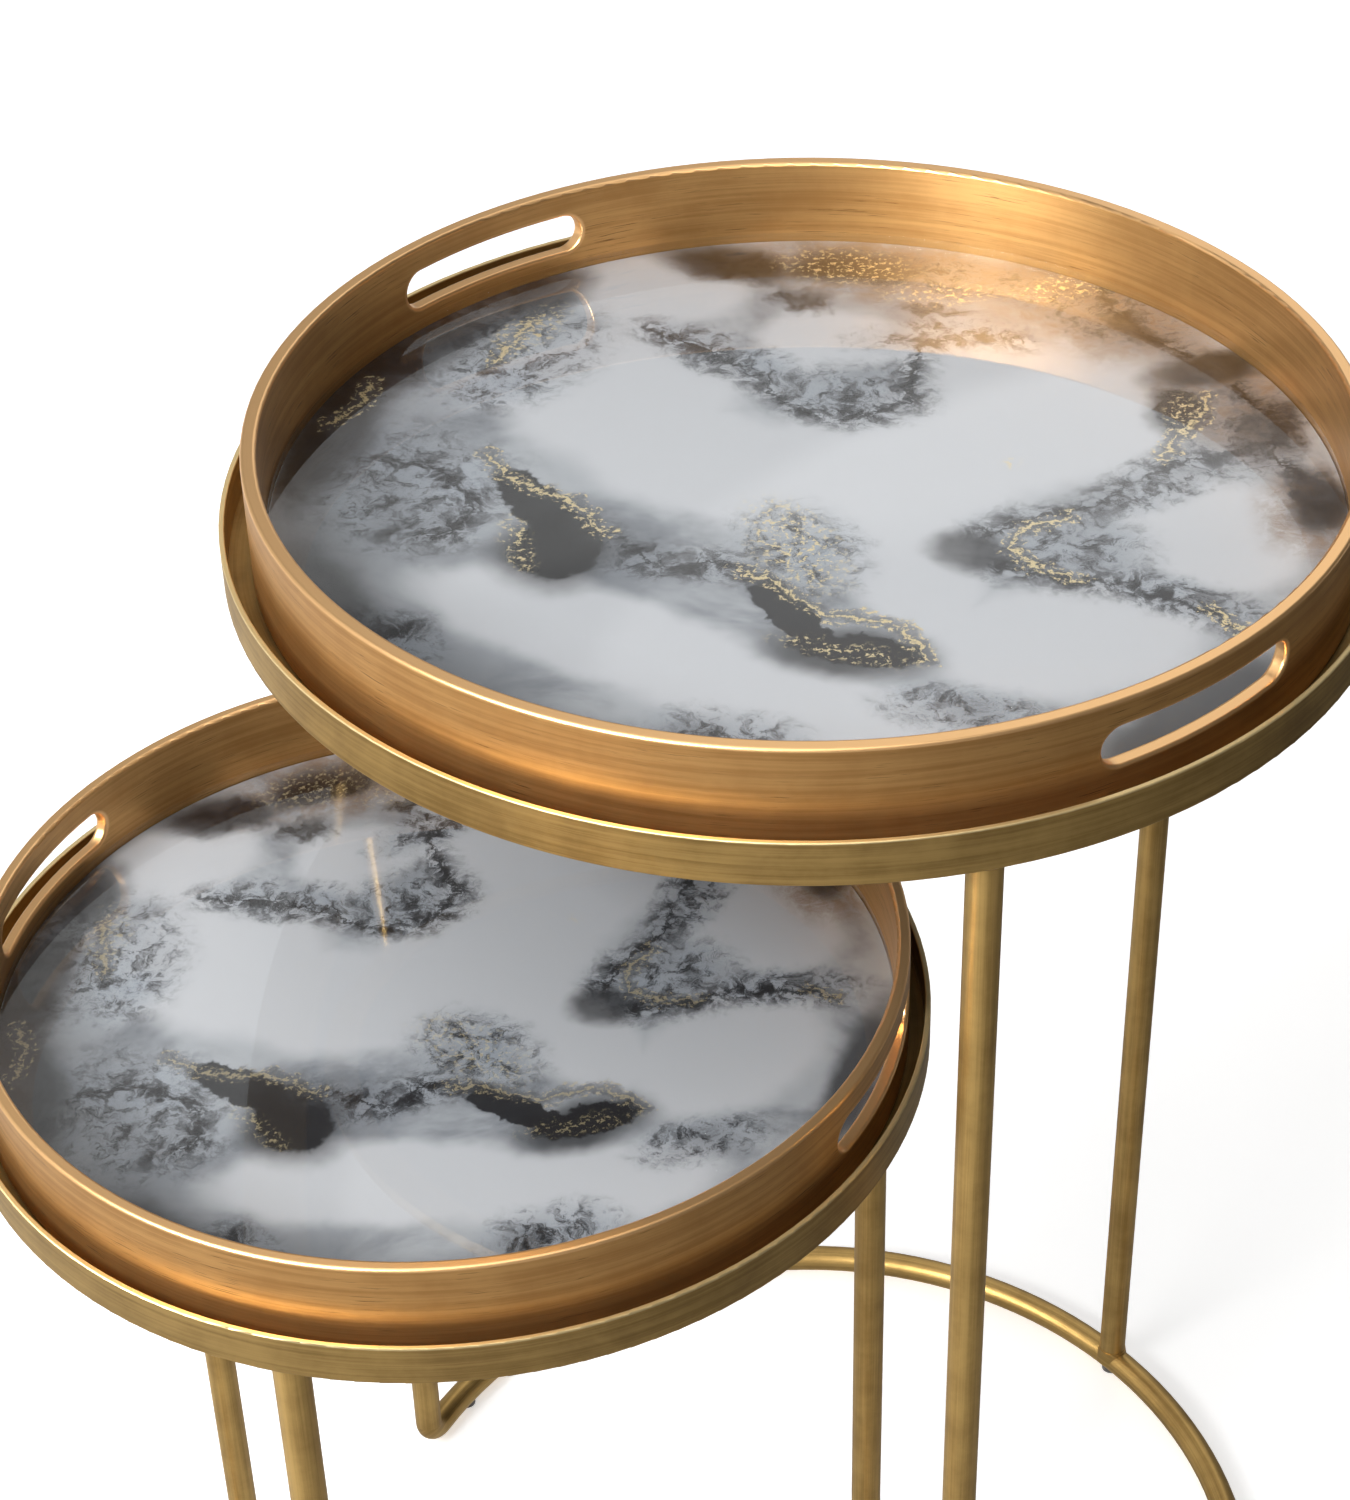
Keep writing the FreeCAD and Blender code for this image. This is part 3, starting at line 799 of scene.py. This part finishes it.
class StudioLook(bpy.types.PropertyGroup):
    floor: tint("Floor", "Plain pale floor", (0.86, 0.86, 0.86))
    glow: amount("Floor glow", "Light added so that the floor stays near white", 0.62, 0.0, 2.0)
    far_from: length("Far from", "Where the floor starts to brighten towards the backdrop", 1.0)
    far_to: length("Far to", "Where the floor is as bright as the backdrop", 3.5)
    horizon: tint("Horizon", "Light added to the floor far out, to meet the backdrop", (0.83, 0.83, 0.83))
    sky: amount("Fill", "Even light from all round", 0.20, 0.0, 3.0)
    overhead: amount("Overhead", "Power of the soft light above, in watts", 26.0, 0.0, 500.0)
    key: amount("Key", "Power of the soft light at the front left, in watts", 95.0, 0.0, 500.0)
    key_glow: amount("Key glow", "Brightness that gloss sees round the key light", 13.0, 0.0, 50.0)
    back: amount("Back", "Brightness of the soft panel behind", 0.95, 0.0, 10.0)
    flag: tint("Flag", "Dark card that the right sides mirror", (0.05, 0.047, 0.043))
    card_pale: tint("Floor mirror pale", "What the left sides mirror of the floor", (0.86, 0.85, 0.84))
    card_dark: tint("Floor mirror dark", "What the right sides mirror of the floor", (0.06, 0.057, 0.052))
    shade_from: length("Shade from", "Where the floor mirror starts to darken", -1.3)
    shade_to: length("Shade to", "Where the floor mirror is darkest", 1.0)
    left: amount("Left", "Brightness of the soft wall at the left", 0.35, 0.0, 10.0)
    lens: bpy.props.FloatProperty(
        name="Lens", description="Camera lens", default=80.30, unit="CAMERA", min=10.0, max=300.0
    )


GROUPS = (TrayLook, FrameLook, PrintLook, GlassLook, PlainLook, StudioLook)


# ---------------------------------------------------------------- pieces and stage


def add_to_scene(name, data):
    """An object that holds this mesh, light or camera."""
    made = bpy.data.objects.new(name, data)
    bpy.context.scene.collection.objects.link(made)
    return made


def mesh_object(name, bm, material):
    """Turns a bmesh into an object at the origin with its finish."""
    mesh = bpy.data.meshes.new(name)
    bm.to_mesh(mesh)
    bm.free()
    mesh.materials.append(material)
    return add_to_scene(name, mesh)


def mesh_piece(name, bm, material):
    """A piece of the tables: its faces point outwards, and it is smooth but for its edges."""
    bmesh.ops.recalc_face_normals(bm, faces=bm.faces)
    piece = mesh_object(name, bm, material)
    piece.data.shade_smooth()
    piece.data.set_sharp_from_angle(angle=SHARP_ABOVE)
    return piece


class TABLES_OT_trays(bpy.types.Operator):
    """Brushed antique gold on the two tray walls"""

    bl_idname = "tray_tables.trays"
    bl_label = "Tray walls"

    def execute(self, context):
        look = context.scene.tray_look
        for table in MEASURES.values():
            paint(table.name + "_tray_wall", tray_gold(table, look))
        return {"FINISHED"}


class TABLES_OT_prints(bpy.types.Operator):
    """Marble-ink print, board and backing felt of the two trays"""

    bl_idname = "tray_tables.prints"
    bl_label = "Prints, boards and felts"

    def execute(self, context):
        look = context.scene.print_look
        plain = context.scene.plain_look
        for table in MEASURES.values():
            paint(table.name + "_tray_print", marble_print(table, look))
            paint(table.name + "_tray_board", painted_board(table, plain))
            paint(table.name + "_tray_backing", felt(table, plain))
        return {"FINISHED"}


class TABLES_OT_glass(bpy.types.Operator):
    """The loose glass panes, with a polished arris"""

    bl_idname = "tray_tables.glass"
    bl_label = "Glass panes"

    def execute(self, context):
        look = context.scene.glass_look
        for table in MEASURES.values():
            thickness = table.glass_top - table.glass_bottom - look.gap
            bm = bmesh.new()
            bmesh.ops.create_circle(
                bm, cap_ends=True, segments=PANE_SIDES, radius=table.glass_radius
            )
            grown = bmesh.ops.extrude_face_region(bm, geom=list(bm.faces))
            raised = [v for v in grown["geom"] if isinstance(v, bmesh.types.BMVert)]
            bmesh.ops.translate(bm, vec=(0, 0, thickness), verts=raised)
            rims = [e for e in bm.edges if abs(e.verts[0].co.z - e.verts[1].co.z) < LEVEL]
            bmesh.ops.bevel(
                bm,
                geom=rims,
                offset=look.arris,
                offset_type="OFFSET",
                affect="EDGES",
                segments=ARRIS_SEGMENTS,
                profile=0.5,
                material=-1,
            )
            shift = Vector((table.axis.x, table.axis.y, table.glass_bottom + look.gap))
            bmesh.ops.translate(bm, vec=shift, verts=bm.verts)
            pane = mesh_piece(table.name + "_glass_pane", bm, clear_glass(table, look))
            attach(pane, table.name + "_tray")
            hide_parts(table.name + "_tray_glass")
        return {"FINISHED"}


class TABLES_OT_frames(bpy.types.Operator):
    """Antique brass on the hoops, ledges, legs, floor rings and welds"""

    bl_idname = "tray_tables.frames"
    bl_label = "Frames"

    def execute(self, context):
        look = context.scene.frame_look
        for table in MEASURES.values():
            round_brass = frame_brass(table, look, "round", "hoop")
            # the floor rings, welds and legs take a lit copy of the hoop brass: painted light
            lit_ring_brass = frame_brass(table, look, "round", "ring", look.lift)
            lit_leg_brass = frame_brass(table, look, "up", "leg", look.lift)
            for part in ("hoop", "ledge"):
                paint(table.name + "_" + part, round_brass)
            for part in ("floor_ring", "welds"):
                paint(table.name + "_" + part, lit_ring_brass)
            for part in ("leg_back", "leg_left", "leg_right"):
                paint(table.name + "_" + part, lit_leg_brass)
        return {"FINISHED"}


class TABLES_OT_pads(bpy.types.Operator):
    """Rubber rest pads under the trays and glides under the floor rings"""

    bl_idname = "tray_tables.pads"
    bl_label = "Pads and glides"

    def execute(self, context):
        look = context.scene.plain_look
        for table in MEASURES.values():
            rubber = moulded(table, "rubber", look.rubber, look.rubber_scuff, 0.6)
            plastic = moulded(table, "glide", look.glide, look.glide_scuff, 0.4)
            paint(table.name + "_rest_pads", rubber)
            paint(table.name + "_glides", plastic)
        return {"FINISHED"}


def turn_to(place, axis):
    """Turns an axis of something at a place's position towards what the place faces."""
    return (Vector(place["aim"]) - Vector(place["at"])).to_track_quat(axis, "Y")


def area_light(name, place, power, tone=(1.0, 1.0, 1.0)):
    """A soft rectangular light that the camera doesn't see."""
    data = bpy.data.lights.new(name, "AREA")
    data.shape = "RECTANGLE"
    data.size, data.size_y = place["size"]
    data.energy = power
    data.color = tone
    light = add_to_scene(name, data)
    light.location = place["at"]
    light.rotation_euler = turn_to(place, "-Z").to_euler()
    light.visible_camera = False


def card(name, place, material):
    """A flat card seen only in reflections."""
    bm = bmesh.new()
    bmesh.ops.create_grid(bm, x_segments=1, y_segments=1, size=0.5)
    bmesh.ops.scale(bm, vec=(*place["size"], 1.0), verts=bm.verts)
    stand = Matrix.Translation(Vector(place["at"])) @ turn_to(place, "Z").to_matrix().to_4x4()
    bmesh.ops.transform(bm, matrix=stand, verts=bm.verts)
    made = mesh_object(name, bm, material)
    made.visible_camera = False
    made.visible_diffuse = False
    made.visible_shadow = False


class TABLES_OT_stage(bpy.types.Operator):
    """Pale floor, soft lights, panel behind and the camera"""

    bl_idname = "tray_tables.stage"
    bl_label = "Studio"

    def execute(self, context):
        look = context.scene.studio_look
        self.make_floor(look)
        self.make_light(look)
        self.make_cards(look)
        self.make_camera(look)
        return {"FINISHED"}

    def make_floor(self, look):
        finish = Finish("studio_floor")
        place = finish.place((0.0, 0.0, 0.0))
        soft = finish.noise(place, 1.2, 2.0, 0.5)
        body = finish.blend(soft, look.floor, [c * FLOOR_MOTTLE for c in look.floor])
        x, y, _ = finish.parts(place)
        near = [c * look.glow for c in look.floor]
        glow = finish.blend(finish.from_axis(x, y).step(look.far_from, look.far_to), near, look.horizon)
        material = finish.shade(
            Base_Color=body,
            Roughness=0.7,
            Emission_Color=glow,
            Emission_Strength=1.0,
            Specular_IOR_Level=0.1,
        )
        bm = bmesh.new()
        bmesh.ops.create_circle(bm, cap_ends=True, segments=FLOOR_SIDES, radius=FLOOR_RADIUS)
        mesh_object("studio_floor", bm, material)

    def make_light(self, look):
        scene = bpy.context.scene
        scene.view_settings.view_transform = "Standard"
        world = bpy.data.worlds.new("studio_world")
        world.use_nodes = True
        scene.world = world
        tree = world.node_tree
        tree.nodes.clear()
        sky = Finish(tree=tree)
        way = sky.node("ShaderNodeTexCoord", out="Generated")
        x, y, height = sky.parts(way)
        angle = x.turn(y)
        # the panel behind starts at an edge that leans to the left as it rises
        edge = angle + PANEL_ANGLE + (height - PANEL_HEIGHT) * PANEL_LEAN
        panel = edge.step(*PANEL_EDGE) * angle.step(*PANEL_END) * height.step(*PANEL_FOOT)
        left = angle.step(*LEFT_WALL) * height.step(*LEFT_FOOT)
        right = angle.step(*DIM_START) * angle.step(*DIM_END) * height.step(*DIM_TOP)
        level = look.sky * (1.0 - right * DIM_SHARE) + panel * look.back + left * look.left
        path = sky.node("ShaderNodeLightPath", out="Is Camera Ray")
        level = level * (1.0 - path) + path * BACKDROP
        light = sky.node(
            "ShaderNodeBackground", None, {"Color": (1.0, 0.99, 0.98, 1.0), "Strength": level}
        )
        sky.node("ShaderNodeOutputWorld", None, {"Surface": light})
        area_light("overhead", OVERHEAD, look.overhead, (1.0, 0.98, 0.95))
        area_light("key", KEY, look.key)

    def make_cards(self, look):
        """Cards that only reflections see: a dark flag, a glow round the key and a shaded floor."""
        plain = {"Base_Color": (0.0, 0.0, 0.0), "Specular_IOR_Level": 0.0}
        flag = Finish("dark_flag")
        dark = flag.shade(**plain, Emission_Color=look.flag, Emission_Strength=1.0)
        card("right_flag", RIGHT_FLAG, dark)
        glow = Finish("key_glow")
        warm = glow.shade(**plain, Emission_Color=(1.0, 0.95, 0.88), Emission_Strength=look.key_glow)
        card("key_glow", KEY_GLOW, warm)
        shaded = Finish("shaded_floor")
        x, _, _ = shaded.parts(shaded.place((0.0, 0.0, 0.0)))
        tone = shaded.blend(x.step(look.shade_from, look.shade_to), look.card_pale, look.card_dark)
        card("floor_card", FLOOR_CARD, shaded.shade(**plain, Emission_Color=tone, Emission_Strength=1.0))

    def make_camera(self, look):
        large = MEASURES["large"]
        spot = Vector((large.axis.x, large.axis.y - CAMERA_BACK, large.rim + CAMERA_UP))
        pitch, yaw, roll = (math.radians(turn) for turn in CAMERA_TURNS)
        ahead = Vector(
            (math.sin(yaw) * math.cos(pitch), math.cos(yaw) * math.cos(pitch), -math.sin(pitch))
        )
        right = Vector((math.cos(yaw), -math.sin(yaw), 0.0))
        up = right.cross(ahead)
        leaned_right = right * math.cos(roll) + up * math.sin(roll)
        leaned_up = up * math.cos(roll) - right * math.sin(roll)
        turn = Matrix((leaned_right, leaned_up, -ahead)).transposed().to_4x4()
        data = bpy.data.cameras.new("camera")
        data.lens = look.lens
        data.sensor_width = SENSOR_WIDTH
        data.shift_x, data.shift_y = CAMERA_SHIFT
        data.clip_end = CAMERA_REACH
        camera = add_to_scene("camera", data)
        camera.matrix_world = Matrix.Translation(spot) @ turn
        bpy.context.scene.camera = camera


class TABLES_PT_panel(bpy.types.Panel):
    """Lists the steps that finish the tables"""

    bl_idname = "TABLES_PT_panel"
    bl_label = "Tray Tables"
    bl_space_type = "VIEW_3D"
    bl_region_type = "UI"
    bl_category = "Tray Tables"

    def draw(self, context):
        for step in STEPS:
            self.layout.operator(step.bl_idname)


STEPS = (
    TABLES_OT_trays,
    TABLES_OT_prints,
    TABLES_OT_glass,
    TABLES_OT_frames,
    TABLES_OT_pads,
    TABLES_OT_stage,
)
HOLDERS = {
    "tray_look": TrayLook,
    "frame_look": FrameLook,
    "print_look": PrintLook,
    "glass_look": GlassLook,
    "plain_look": PlainLook,
    "studio_look": StudioLook,
}


def register():
    for made in (*GROUPS, *STEPS, TABLES_PT_panel):
        bpy.utils.register_class(made)
    for name, group in HOLDERS.items():
        setattr(bpy.types.Scene, name, bpy.props.PointerProperty(type=group))


def unregister():
    for name in HOLDERS:
        delattr(bpy.types.Scene, name)
    for made in reversed((*GROUPS, *STEPS, TABLES_PT_panel)):
        bpy.utils.unregister_class(made)


def main():
    register()
    for step in STEPS:
        family, action = step.bl_idname.split(".")
        getattr(getattr(bpy.ops, family), action)()


if __name__ == "__main__":
    main()
